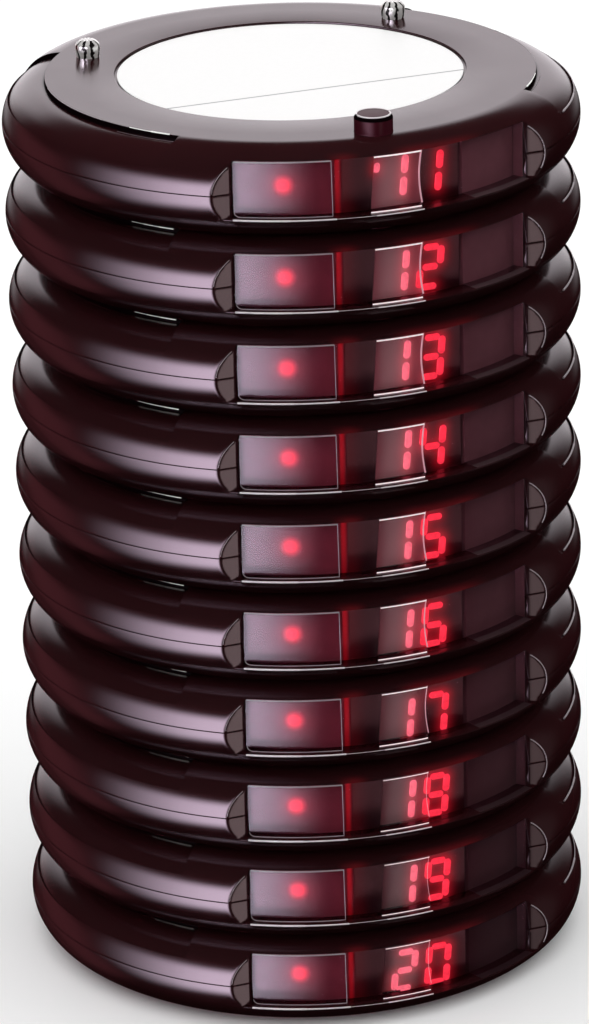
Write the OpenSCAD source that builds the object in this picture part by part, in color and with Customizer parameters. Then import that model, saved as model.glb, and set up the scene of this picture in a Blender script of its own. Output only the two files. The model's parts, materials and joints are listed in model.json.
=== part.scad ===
// Guest pager system: a stack of round coaster pagers with numbered red displays.
// Millimetres. The origin is the centre of the stack's underside, +Z is up, and the
// windows face -Y. Angles around a pager are counted from its front, positive to +X.

/* [Stack] */
// Number of pagers in the stack
pager_count = 10; // [2:1:10]
// Number shown by the pager on top
first_number = 11; // [1:1:90]
// Gap between two pagers, which rest on their charging contacts
stack_gap = 0.2; // [0.1:0.05:0.5]

/* [Case] */
// Diameter over the rounded edge
body_d = 95; // [79:0.5:115]
// Thickness of one pager, which also sets its half-round edge
body_t = 15; // [12.5:0.1:18]
// Wall of both case shells
wall = 1.8; // [1.5:0.05:2.2]
// Height of the parting line above mid-thickness
seam_rise = 0.3; // [0:0.05:0.6]
// Depth of the lip that centres the upper shell in the lower one
lip_depth = 1.4; // [1:0.1:2]
// Thickness of that lip
lip_t = 0.8; // [0.6:0.05:1]
// Angle from the window's end to the start of the lip
lip_free = 12; // [10:1:20]
// Gap between pieces that fit into each other
fit_gap = 0.1; // [0.05:0.01:0.15]
// Gap under inner pieces that stand on the board
seat_gap = 0.03; // [0.02:0.01:0.05]

/* [Label] */
// Width of the flat ring between the label and the rounded edge
label_margin = 11.6; // [9.5:0.1:14]
// Thickness of the label disc
label_t = 0.25; // [0.2:0.05:0.4]
// Depth of the recess that holds the label
label_recess = 0.5; // [0.45:0.05:0.7]
// Gap around the label
label_gap = 0.45; // [0.2:0.05:0.6]

/* [Side panels] */
// Angle from the front to the near end of each sunk side panel
panel_start = 47.5; // [44:0.5:56]
// Angle from the front to the far end
panel_end = 130; // [110:1:140]
// Distance of the panel's inner wall outside the flat top
panel_inner = 0.3; // [0.1:0.1:1]
// Distance of the panel's outer edge inside the rim
panel_outer = 1.1; // [0.8:0.1:2]
// Depth of the panel at its inner wall
panel_depth = 0.85; // [0.5:0.05:1]
// How far the panel's curve is pushed outwards, which thins its outer step
panel_push = 0.24; // [0:0.02:0.4]

/* [Window] */
// Depth of the window's face inside the rim
window_inset = 2.5; // [2:0.1:3]
// Half width of the window
window_half_w = 25; // [23:0.5:26.5]
// Distance of the flat ends beside the window in front of the window's ends
cap_step = 0.4; // [0:0.1:0.5]
// Height of the ledge below the window
ledge_z = 3.8; // [3.7:0.1:4.4]
// Height of the upper shell's edge above the window
window_brow = 0.3; // [0.2:0.05:0.6]
// Thickness of the flange that holds the window from inside
flange_t = 0.8; // [0.6:0.1:1]
// Overlap of that flange behind the shells
flange_lap = 0.8; // [0.5:0.1:0.9]
// Angle left free at each end of the window's face
window_end_gap = 0.15; // [0.1:0.05:0.3]
// Angle by which the flange laps behind each end of the window
flange_end_lap = 1; // [0.5:0.1:1.5]

/* [Locating post] */
// Diameter of the post on top
post_d = 6.2; // [5:0.1:7]
// Height of the post
post_h = 2.9; // [2.4:0.05:3]
// Distance of its centre inside the flat top's edge
post_inset = 2.1; // [1.6:0.1:3]
// Angle of the post from the front
post_angle = -1.5; // [-3:0.5:3]
// Chamfer on the post's rim
post_chamfer = 0.2; // [0.1:0.05:0.4]
// Radial clearance of the post in the socket of the next pager
socket_gap = 0.15; // [0.1:0.01:0.25]
// Free height over the post in its socket
socket_head = 0.4; // [0.3:0.05:0.5]
// Roof of the socket's boss
socket_roof_t = 0.6; // [0.5:0.05:0.7]
// Side wall of the socket's boss
socket_side_t = 1.2; // [0.8:0.1:1.4]

/* [Charging contacts] */
// Diameter of a contact stud
stud_d = 4.1; // [3.2:0.1:5]
// Height of a stud
stud_h = 2.9; // [2.4:0.05:3]
// Diameter of the flat on a stud's tip
stud_tip_d = 2.5; // [1.8:0.1:3]
// Height of a stud's conical tip
stud_tip_h = 0.7; // [0.4:0.05:1]
// Diameter of a stud's shank
shank_d = 2.4; // [1.8:0.1:2.8]
// Distance of a stud's centre inside the flat top's edge
stud_inset = 5; // [4.6:0.1:6]
// Angle of each stud from the front
stud_angle = 128.5; // [120:0.5:132]
// Thickness of a contact plate
plate_t = 0.5; // [0.3:0.1:0.8]
// How far a contact plate overlaps the wall of its socket
plate_lap = 1; // [0.6:0.1:1.4]

/* [Display and lights] */
// Pitch of the three digits
digit_pitch = 6.1; // [5.6:0.1:6.2]
// Distance of the display's centre to the right of the front
display_shift = 2.9; // [2:0.1:3]
// Depth of the display module
display_depth = 4.5; // [3.5:0.1:5]
// Margin beside the digits
display_margin = 0.3; // [0.2:0.05:0.4]
// Near and far angles of the left light box
left_box = [13, 33]; // [10:0.5:34]
// Near and far angles of the right light box
right_box = [17.8, 33]; // [17:0.5:34]
// Radial depth of the light boxes
box_depth = 4; // [3:0.1:4.4]
// Diameter of an indicator lamp
lamp_d = 3; // [2.6:0.1:3.4]
// Length of a lamp's straight body
lamp_l = 2.2; // [1.8:0.1:2.6]
// Distance of a lamp's tip behind the face of its light box
lamp_cover = 0.5; // [0.4:0.1:0.8]
// Diameter of a lamp's leads
lead_d = 0.5; // [0.4:0.05:0.6]
// Distance of each lead from the lamp's axis
lead_spread = 0.8; // [0.6:0.05:1]
// Distance of the leads inside the board's edge
lead_inset = 1; // [0.5:0.1:1.5]

/* [Board and battery] */
// Distance of the board's edge inside the flat top's edge
board_inset = 3.2; // [2.8:0.1:3.6]
// Thickness of the board
board_t = 1; // [0.8:0.1:1.2]
// Distance from the board's top down to the parting line
board_drop = 0.6; // [0.4:0.1:1]
// Length of the battery
battery_l = 36; // [30:1:38]
// Width of the battery
battery_w = 26; // [20:1:28]
// Corner radius of the battery
battery_r = 2.5; // [1:0.5:4]
// Diameter of the buzzer
buzzer_d = 12; // [9:0.5:13]
// Height of the buzzer
buzzer_h = 3.2; // [2:0.1:3.4]
// Diameter of the buzzer's port
buzzer_port_d = 2.4; // [1.6:0.1:3]
// Depth of the buzzer's port
buzzer_port_depth = 1; // [0.5:0.1:1.5]
// Diameter of the aerial
aerial_d = 2.8; // [2.2:0.1:3.2]
// Length of the aerial
aerial_l = 9; // [6:0.5:10]
// Distance of the buzzer and the motor from the centre
works_ring = 15; // [14:0.5:16]

/* [Vibration motor] */
// Free height over the motor
motor_headroom = 0.6; // [0.4:0.1:0.8]
// Length of the motor's case
motor_l = 9; // [7:0.5:10]
// Thickness of the motor's closed end, and how far its ends stand out of its mount
motor_end = 1; // [0.8:0.1:1.2]
// Length of the eccentric weight
weight_l = 3.5; // [3:0.1:4]
// Distance from the case to the weight
weight_gap = 0.5; // [0.3:0.1:0.8]
// Running clearance of the weight over the board
weight_clear = 0.4; // [0.3:0.05:0.5]
// Diameter of the motor's shaft
shaft_d = 0.8; // [0.7:0.1:1]
// Running clearance around the shaft
shaft_gap = 0.05; // [0.03:0.01:0.08]

/* [Screws] */
// Angles of the four screws from the front
screw_angles = [-155, -75, 75, 155]; // [-170:1:170]
// Distance of a screw inside the flat top's edge
screw_inset = 4; // [3.8:0.1:4.6]
// Diameter of a screw's shank
screw_d = 2.2; // [2:0.1:2.4]
// Diameter of a screw's head
screw_head_d = 4.2; // [3.8:0.1:4.4]
// Height of a screw's head
screw_head_h = 1.4; // [1.2:0.1:1.6]
// Depth of a head below the underside
screw_sink = 0.6; // [0.4:0.1:0.8]
// Length of each slot of the cross in a head
cross_l = 2.6; // [2:0.1:3]
// Width of each slot
cross_w = 0.6; // [0.4:0.1:0.8]
// Depth of the cross
cross_depth = 0.7; // [0.5:0.1:0.9]
// Length of thread in the upper shell
screw_bite = 4; // [3:0.5:4]
// Wall of a screw boss
boss_wall = 2; // [1.8:0.1:2.1]

/* [Hidden] */
$fn = 72;
eps = 0.01;
far = 200;
// How far a cut runs past the faces that it opens
over = 1;

body_r = body_d / 2;
edge_r = body_t / 2;
flat_r = body_r - edge_r;
pitch = body_t + stack_gap;
seam_z = edge_r + seam_rise;
roof_z = body_t - wall;

label_r = flat_r - label_margin;

window_r = body_r - window_inset;
cap_y = -sqrt(window_r * window_r - window_half_w * window_half_w) - cap_step;
window_a = asin(window_half_w / window_r);
edge_run = window_r - flat_r;
window_top = edge_r + sqrt(edge_r * edge_r - edge_run * edge_run) - window_brow;
window_mid = (ledge_z + window_top) / 2;
flange_r = window_r - wall;
behind_r = flange_r - flange_t;

// Height of the inner space's floor at a distance from the axis beyond the flat
function space_floor(r) = edge_r - sqrt(pow(edge_r - wall, 2) - pow(r - flat_r, 2));

// Distance of the inner space's wall from the axis at a height
function space_reach(z) = flat_r + sqrt(pow(edge_r - wall, 2) - pow(z - edge_r, 2));

lip_outer_r = space_reach(seam_z - lip_depth) - fit_gap;
lights_top = min(window_top, body_t - space_floor(behind_r)) - fit_gap;
lights_low = max(ledge_z, space_floor(behind_r) + fit_gap);
flange_low = max(ledge_z - flange_lap, space_floor(flange_r)) + fit_gap;
flange_top = min(lights_top, body_t - space_floor(flange_r) - fit_gap);

socket_d = post_d + 2 * socket_gap;
socket_depth = post_h - stack_gap + socket_head;
socket_roof = socket_depth + socket_roof_t;
socket_boss_d = socket_d + 2 * socket_side_t;
// The boss of the post's socket stays behind the window's flange
post_r = min(flat_r - post_inset, behind_r - (socket_boss_d + fit_gap) / 2);

stud_r = flat_r - stud_inset;
contact_d = stud_d + 2 * socket_gap;
contact_depth = stud_h - stack_gap;
plate_d = contact_d + 2 * plate_lap;
contact_boss_d = plate_d + wall;

board_r = flat_r - board_inset;
board_top = seam_z - board_drop;
board_z = board_top - board_t;
headroom = roof_z - board_top;

screw_r = flat_r - screw_inset;
boss_d = screw_d + 2 * boss_wall;
screw_tip = board_top + screw_bite;

display_w = 3 * digit_pitch + 2 * display_margin;
display_far = display_shift + display_w / 2;
display_y = -sqrt(pow(behind_r - fit_gap, 2) - display_far * display_far);
display_z = socket_roof + fit_gap;
display_h = lights_top - display_z;
board_front = display_y + display_depth + seat_gap;

box_front_r = behind_r - fit_gap;
box_back_r = box_front_r - box_depth;
lamp_tip_r = box_front_r - lamp_cover;
lamp_back_r = lamp_tip_r - lamp_d / 2 - lamp_l;

// The motor's axis runs along X behind the centre
motor_d = headroom - motor_headroom;
motor_y = works_ring;
motor_z = board_top + seat_gap + motor_d / 2;
motor_start = -works_ring;
weight_start = motor_start + motor_l + weight_gap;
shaft_start = motor_start + motor_end + weight_gap;
weight_r = motor_d / 2 - weight_clear;
battery_h = board_z - wall - 2 * fit_gap;

// The aerial's angle from the front, its distance inside the board's edge and its sunk depth
aerial_angle = -100;
aerial_inset = 5;
aerial_sink = 0.2;

// Place, size and turn of each chip on the board
CHIPS = [
    [[-4, -12], [10, 10, 1.4], 45],
    [[10, -14], [5, 6, 1.2], 0],
    [[-16, -4], [4, 5, 1.5], 0],
    [[16, -5], [3, 7, 1.8], 0]
];

// Pieces that only the pager on top has as nodes of their own
TOP_PIECES = [
    "upper_shell", "lower_shell", "window_lens", "label_disc", "contact_studs",
    "contact_plates", "circuit_board", "digit_display", "light_boxes", "indicator_lamps",
    "battery_cell", "vibration_motor", "buzzer", "case_screws", "motor_weight"
];
// In the other pagers the inner pieces share one node as separate solids
STACK_PIECES = ["upper_shell", "lower_shell", "window_lens", "works", "motor_weight"];
NUMBERS = [for (i = [0 : pager_count - 1]) first_number + i];

// A place at an angle from the front and a distance from the axis
function polar(angle, r) = [r * sin(angle), -r * cos(angle)];

module at(angle, r, z = 0) {
    place = polar(angle, r);
    translate([place[0], place[1], z]) children();
}

// Part of a ring between two angles from the front, two radii and two heights
module sector(from, to, inner_r, outer_r, low, high) {
    rotate_extrude(angle = to - from, start = 270 + from)
        translate([inner_r, low]) square([outer_r - inner_r, high - low]);
}

// Half section of the case with its half-round edge, moved inwards by inset
module case_section(inset = 0) {
    translate([0, inset]) square([flat_r, body_t - 2 * inset]);
    translate([flat_r, edge_r]) circle(r = edge_r - inset);
}

// The space that the window's notch takes, grown by a wall
module window_notch(grow, low) {
    intersection() {
        sector(-90, 90, window_r - grow, body_r + over, low, far);
        translate([-far / 2, cap_y + grow - far, -over]) cube([far, far, far]);
    }
}

module case_space() {
    difference() {
        rotate_extrude() case_section(wall);
        window_notch(wall, -over);
    }
}

module window_opening() {
    sector(-window_a, window_a, flange_r - over, window_r + over, ledge_z, window_top);
}

module case_half(low, high) {
    difference() {
        intersection() {
            rotate_extrude() case_section();
            translate([0, 0, low]) cylinder(r = body_r + over, h = high - low);
        }
        case_space();
        window_notch(0, ledge_z);
        window_opening();
    }
}

// Sunk panel over the rounded edge; its floor is the edge's curve, lowered and pushed out
module side_panel() {
    rotate_extrude(angle = panel_end - panel_start, start = 270 + panel_start)
        difference() {
            translate([flat_r + panel_inner, edge_r])
                square([edge_r - panel_inner - panel_outer, body_t]);
            translate([flat_r + panel_push, edge_r - panel_depth]) circle(r = edge_r);
        }
}

// Lip on the upper shell that sits inside the lower one, open behind the window
module shell_lip() {
    free_a = window_a + lip_free;
    rotate_extrude(angle = 360 - 2 * free_a, start = 270 + free_a)
        polygon([
            [lip_outer_r - lip_t, seam_z - lip_depth],
            [lip_outer_r, seam_z - lip_depth],
            [lip_outer_r, seam_z],
            [body_r - wall / 2, seam_z],
            [body_r - wall / 2, seam_z + lip_t],
            [lip_outer_r - lip_t, seam_z + lip_t]
        ]);
}

module locating_post() {
    at(post_angle, post_r, roof_z) cylinder(d = post_d, h = wall + post_h - post_chamfer);
    at(post_angle, post_r, body_t + post_h - post_chamfer)
        cylinder(d1 = post_d, d2 = post_d - 2 * post_chamfer, h = post_chamfer);
}

module upper_shell() {
    color([0.2, 0.09, 0.11])
        difference() {
            union() {
                difference() {
                    case_half(seam_z, body_t);
                    side_panel();
                    mirror([1, 0, 0]) side_panel();
                }
                shell_lip();
                locating_post();
                for (a = screw_angles)
                    at(a, screw_r, board_top + fit_gap)
                        cylinder(d = boss_d, h = headroom - fit_gap + eps);
            }
            translate([0, 0, body_t - label_recess]) cylinder(r = label_r + label_gap, h = far);
            for (a = [-stud_angle, stud_angle])
                at(a, stud_r, seam_z) cylinder(d = shank_d + 2 * fit_gap, h = far);
            for (a = screw_angles)
                at(a, screw_r, seam_z - over)
                    cylinder(d = screw_d + fit_gap, h = screw_tip - seam_z + 2 * over);
        }
}

module lower_shell() {
    color([0.16, 0.07, 0.09])
        difference() {
            union() {
                case_half(0, seam_z);
                at(post_angle, post_r, wall / 2) cylinder(d = socket_boss_d, h = socket_roof - wall / 2);
                for (a = [-stud_angle, stud_angle])
                    at(a, stud_r, wall / 2) cylinder(d = contact_boss_d, h = contact_depth - wall / 2);
                for (a = screw_angles)
                    at(a, screw_r, wall / 2) cylinder(d = boss_d, h = board_z - fit_gap - wall / 2);
            }
            at(post_angle, post_r, -over) cylinder(d = socket_d, h = socket_depth + over);
            for (a = [-stud_angle, stud_angle])
                at(a, stud_r, -over) cylinder(d = contact_d, h = far);
            for (a = screw_angles) {
                at(a, screw_r, -over) cylinder(d = screw_d + 2 * fit_gap, h = far);
                at(a, screw_r, -over)
                    cylinder(d = screw_head_d + 2 * fit_gap, h = screw_head_h + screw_sink + over);
            }
        }
}

module window_lens() {
    face_a = window_a - window_end_gap;
    flange_a = window_a + flange_end_lap;
    color([0.35, 0.12, 0.18, 0.6]) {
        sector(-face_a, face_a, behind_r, window_r, ledge_z, window_top - fit_gap);
        sector(-flange_a, flange_a, behind_r, flange_r - fit_gap, flange_low, flange_top);
    }
}

module label_disc() {
    color([0.95, 0.95, 0.94])
        translate([0, 0, body_t - label_recess]) cylinder(r = label_r, h = label_t);
}

module contact_studs() {
    color([0.8, 0.8, 0.82])
        for (a = [-stud_angle, stud_angle])
            at(a, stud_r) {
                translate([0, 0, board_top + seat_gap])
                    cylinder(d = shank_d, h = body_t - board_top - seat_gap + eps);
                translate([0, 0, body_t]) cylinder(d = stud_d, h = stud_h - stud_tip_h);
                translate([0, 0, body_t + stud_h - stud_tip_h])
                    cylinder(d1 = stud_d, d2 = stud_tip_d, h = stud_tip_h);
            }
}

module contact_plates() {
    color([0.75, 0.73, 0.68])
        for (a = [-stud_angle, stud_angle])
            at(a, stud_r, contact_depth) {
                cylinder(d = plate_d, h = plate_t);
                cylinder(d = shank_d, h = board_z - seat_gap - contact_depth);
            }
}

module chip(place, size, turn) {
    translate([place[0], place[1], board_top])
        rotate(turn) translate([-size[0] / 2, -size[1] / 2, 0]) cube(size);
}

// Wire aerial wound on a flat former, drawn as its closed outer shape
module aerial() {
    at(aerial_angle, board_r - aerial_inset, board_top + aerial_d / 2 - aerial_sink)
        rotate([0, 90, aerial_angle + 90]) cylinder(d = aerial_d, h = aerial_l, center = true);
}

module circuit_board() {
    color([0.1, 0.35, 0.2]) {
        difference() {
            translate([0, 0, board_z]) cylinder(r = board_r, h = board_t);
            translate([-far / 2, board_front - far, 0]) cube([far, far, far]);
            for (a = screw_angles)
                at(a, screw_r, board_z - over)
                    cylinder(d = boss_d + 4 * fit_gap, h = board_t + 2 * over);
        }
    }
    color([0.12, 0.12, 0.13]) {
        for (c = CHIPS) chip(c[0], c[1], c[2]);
        aerial();
    }
}

// The display module, or the space it needs when it is grown
module display_block(grow = 0) {
    translate([display_shift - display_w / 2 - grow, display_y - grow, display_z - grow])
        cube([display_w + 2 * grow, display_depth + 2 * grow, display_h + 2 * grow]);
}

module digit_display() {
    color([0.1, 0.07, 0.08]) display_block();
}

// Pocket for the lamp in the middle of a light box
module lamp_bore(angle, grow) {
    rotate(angle) translate([0, 0, window_mid]) rotate([90, 0, 0])
        translate([0, 0, box_back_r - over])
            cylinder(d = lamp_d + 2 * grow, h = lamp_tip_r - box_back_r + over + grow);
}

module light_box(angles, side) {
    difference() {
        sector(min(side * angles), max(side * angles), box_back_r, box_front_r,
            lights_low, lights_top);
        lamp_bore(side * (angles[0] + angles[1]) / 2, fit_gap);
        display_block(fit_gap);
    }
}

module light_boxes() {
    color([0.55, 0.45, 0.52]) {
        light_box(left_box, -1);
        light_box(right_box, 1);
    }
}

// Lamp lying along a radius, with a domed tip and two leads that turn down to the board
module indicator_lamp(angle) {
    lead_end_r = board_r - lead_inset;
    lead_end_l = window_mid - board_top - seat_gap;
    rotate(angle) {
        translate([0, 0, window_mid]) rotate([90, 0, 0]) {
            translate([0, 0, lamp_back_r]) cylinder(d = lamp_d, h = lamp_l);
            translate([0, 0, lamp_back_r + lamp_l]) sphere(d = lamp_d);
            for (s = [-1, 1])
                translate([s * lead_spread, 0, lead_end_r])
                    cylinder(d = lead_d, h = lamp_back_r - lead_end_r + eps);
        }
        for (s = [-1, 1])
            translate([s * lead_spread, -lead_end_r, board_top + seat_gap])
                cylinder(d = lead_d, h = lead_end_l);
    }
}

module indicator_lamps() {
    color([0.9, 0.15, 0.2]) {
        indicator_lamp(-(left_box[0] + left_box[1]) / 2);
        indicator_lamp((right_box[0] + right_box[1]) / 2);
    }
}

module battery_cell() {
    color([0.7, 0.72, 0.75])
        translate([0, 0, wall + fit_gap])
            linear_extrude(battery_h) {
                square([battery_l - 2 * battery_r, battery_w], center = true);
                square([battery_l, battery_w - 2 * battery_r], center = true);
                for (x = [-1, 1])
                    for (y = [-1, 1])
                        translate([x * (battery_l / 2 - battery_r), y * (battery_w / 2 - battery_r)])
                            circle(r = battery_r);
            }
}

module buzzer() {
    color([0.1, 0.1, 0.1])
        difference() {
            translate([works_ring, works_ring / 2, board_top + seat_gap])
                cylinder(d = buzzer_d, h = buzzer_h);
            translate([works_ring, works_ring / 2, board_top + buzzer_h - buzzer_port_depth])
                cylinder(d = buzzer_port_d, h = buzzer_port_depth + over);
        }
}

module vibration_motor() {
    color([0.75, 0.75, 0.78])
        difference() {
            union() {
                translate([motor_start, motor_y, motor_z]) rotate([0, 90, 0])
                    cylinder(d = motor_d, h = motor_l);
                translate([motor_start + motor_end, motor_y - motor_d / 2, board_top + seat_gap])
                    cube([motor_l - 2 * motor_end, motor_d, motor_d / 2]);
            }
            translate([motor_start + motor_end, motor_y, motor_z]) rotate([0, 90, 0])
                cylinder(d = shaft_d + 2 * shaft_gap, h = motor_l);
        }
}

// Half-round weight on its shaft, hanging down at rest
module motor_weight() {
    color([0.45, 0.45, 0.48])
        translate([0, motor_y, motor_z]) rotate([0, 90, 0]) {
            translate([0, 0, shaft_start])
                cylinder(d = shaft_d, h = weight_start + weight_l - shaft_start);
            difference() {
                translate([0, 0, weight_start]) cylinder(r = weight_r, h = weight_l);
                translate([-weight_r - shaft_d, -weight_r - over, weight_start - over])
                    cube([weight_r, 2 * (weight_r + over), weight_l + 2 * over]);
            }
        }
}

module case_screws() {
    color([0.55, 0.55, 0.58])
        for (a = screw_angles)
            at(a, screw_r, screw_sink) {
                difference() {
                    cylinder(d = screw_head_d, h = screw_head_h);
                    for (turn = [0, 90])
                        rotate(turn) translate([-cross_l / 2, -cross_w / 2, -over])
                            cube([cross_l, cross_w, cross_depth + over]);
                }
                translate([0, 0, screw_head_h - eps])
                    cylinder(d = screw_d, h = screw_tip - screw_sink - screw_head_h);
            }
}

// Everything that the case holds, apart from the motor's weight
module works() {
    label_disc();
    contact_studs();
    contact_plates();
    circuit_board();
    digit_display();
    light_boxes();
    indicator_lamps();
    battery_cell();
    vibration_motor();
    buzzer();
    case_screws();
}

module piece(name) {
    if (name == "upper_shell") upper_shell();
    if (name == "lower_shell") lower_shell();
    if (name == "window_lens") window_lens();
    if (name == "label_disc") label_disc();
    if (name == "contact_studs") contact_studs();
    if (name == "contact_plates") contact_plates();
    if (name == "circuit_board") circuit_board();
    if (name == "digit_display") digit_display();
    if (name == "light_boxes") light_boxes();
    if (name == "indicator_lamps") indicator_lamps();
    if (name == "battery_cell") battery_cell();
    if (name == "vibration_motor") vibration_motor();
    if (name == "buzzer") buzzer();
    if (name == "case_screws") case_screws();
    if (name == "motor_weight") motor_weight();
    if (name == "works") works();
}

for (i = [0 : pager_count - 1])
    for (name = i == 0 ? TOP_PIECES : STACK_PIECES)
        translate([0, 0, (pager_count - 1 - i) * pitch]) piece(name);
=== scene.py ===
"""Looks of the guest pager system: ten round coaster pagers in a stack, numbered 11 to 20.

Metres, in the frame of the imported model: +Z up, windows towards -Y. Every pager is built in its own frame,
with z = 0 at its underside, and its objects are placed at its base. Angles are in degrees round a pager,
counted from the front, positive to +X.
"""

import json
import math

import bmesh
import bpy
from mathutils import Matrix, Vector

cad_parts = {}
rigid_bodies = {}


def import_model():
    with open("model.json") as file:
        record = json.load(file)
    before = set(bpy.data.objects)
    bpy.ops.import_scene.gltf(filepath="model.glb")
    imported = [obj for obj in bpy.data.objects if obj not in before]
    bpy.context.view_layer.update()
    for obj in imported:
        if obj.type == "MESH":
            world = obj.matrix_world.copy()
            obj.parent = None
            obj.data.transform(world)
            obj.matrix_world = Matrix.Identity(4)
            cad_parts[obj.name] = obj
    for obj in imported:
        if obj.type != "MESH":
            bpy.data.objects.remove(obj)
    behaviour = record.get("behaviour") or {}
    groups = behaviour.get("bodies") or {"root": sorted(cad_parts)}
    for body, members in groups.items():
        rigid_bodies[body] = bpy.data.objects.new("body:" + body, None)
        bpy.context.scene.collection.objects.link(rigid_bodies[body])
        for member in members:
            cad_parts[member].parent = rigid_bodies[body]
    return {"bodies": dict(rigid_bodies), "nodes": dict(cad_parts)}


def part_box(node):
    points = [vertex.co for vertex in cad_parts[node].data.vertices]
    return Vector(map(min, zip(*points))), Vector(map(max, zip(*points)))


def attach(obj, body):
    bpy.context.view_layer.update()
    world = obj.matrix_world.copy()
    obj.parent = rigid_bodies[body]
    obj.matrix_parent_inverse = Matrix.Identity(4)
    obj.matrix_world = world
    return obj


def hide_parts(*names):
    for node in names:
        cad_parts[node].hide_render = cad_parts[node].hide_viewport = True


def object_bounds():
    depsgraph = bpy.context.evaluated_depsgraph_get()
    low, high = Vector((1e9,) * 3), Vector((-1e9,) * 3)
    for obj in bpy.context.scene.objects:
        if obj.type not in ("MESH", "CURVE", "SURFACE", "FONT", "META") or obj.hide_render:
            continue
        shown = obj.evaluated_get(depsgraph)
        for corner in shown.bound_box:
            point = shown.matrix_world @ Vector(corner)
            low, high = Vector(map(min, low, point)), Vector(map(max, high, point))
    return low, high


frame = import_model()
cad_low, cad_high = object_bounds()

# ---------------------------------------------------------------- sizes, in metres
MM = 0.001
NUMBERS = sorted(int(name.split("_")[1]) for name in frame["bodies"] if name.startswith("pager_"))
BASE = {n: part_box(f"pager_{n}_lower_shell")[0].z for n in NUMBERS}

BODY_T = 15 * MM
EDGE_R = BODY_T / 2
BODY_R = 47.5 * MM
FLAT_R = BODY_R - EDGE_R
WALL = 1.8 * MM
SEAM_Z = EDGE_R + 0.3 * MM
SEAM_GAP = 0.05 * MM
EDGE_ROUND = 0.12 * MM

WINDOW_R = BODY_R - 2.5 * MM
WINDOW_HALF_W = 25 * MM
WINDOW_A = math.degrees(math.asin(WINDOW_HALF_W / WINDOW_R))
CAP_Y = math.sqrt(WINDOW_R**2 - WINDOW_HALF_W**2) + 0.4 * MM
LEDGE_Z = 3.8 * MM
WINDOW_TOP = EDGE_R + math.sqrt(EDGE_R**2 - (WINDOW_R - FLAT_R) ** 2) - 0.06 * MM
FLANGE_R = WINDOW_R - WALL
NOTCH_BLEND = 0.25 * MM

PANEL_START, PANEL_END = 47.5, 130.0
PANEL_IN_R = FLAT_R + 0.3 * MM
PANEL_OUT_R = BODY_R - 1.1 * MM
PANEL_DEPTH = 0.85 * MM
PANEL_PUSH = 0.24 * MM
PANEL_CORNER = 0.7 * MM
PANEL_SLOPE = 0.1 * MM

LABEL_R = FLAT_R - 11.6 * MM
LABEL_SEAT_R = LABEL_R + 0.45 * MM
LABEL_SEAT_Z = BODY_T - 0.5 * MM
LABEL_T = 0.25 * MM
DIVIDER_Y = -11.6 * MM

POST_R, POST_H = 3.1 * MM, 2.9 * MM
POST_TOP = BODY_T + POST_H
SOCKET_R = POST_R + 0.15 * MM
STUD_SOCKET_R = COUNTERBORE_R = 2.2 * MM
POST_A, POST_PLACE_R = -1.5, FLAT_R - 2.1 * MM
STUD_R, STUD_H, STUD_TIP_R, STUD_TIP_H = 2.05 * MM, 2.9 * MM, 1.25 * MM, 0.7 * MM
STUD_A, STUD_PLACE_R = 128.5, FLAT_R - 5 * MM

CAMERA_A = -21.4
TOP_BASE = BASE[NUMBERS[0]]


def sin(angle):
    return math.sin(math.radians(angle))


def cos(angle):
    return math.cos(math.radians(angle))


def polar(angle, r, z=0.0):
    """The point at an angle from the front, a distance from the axis and a height."""
    return Vector((r * sin(angle), -r * cos(angle), z))


def smooth_step(x):
    x = min(max(x, 0.0), 1.0)
    return x * x * (3 - 2 * x)


def smooth_min(a, b, width):
    """The lesser of a and b, with a round transition where they are nearly equal."""
    h = max(width - abs(a - b), 0.0) / width
    return min(a, b) - h * h * width / 4


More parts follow.
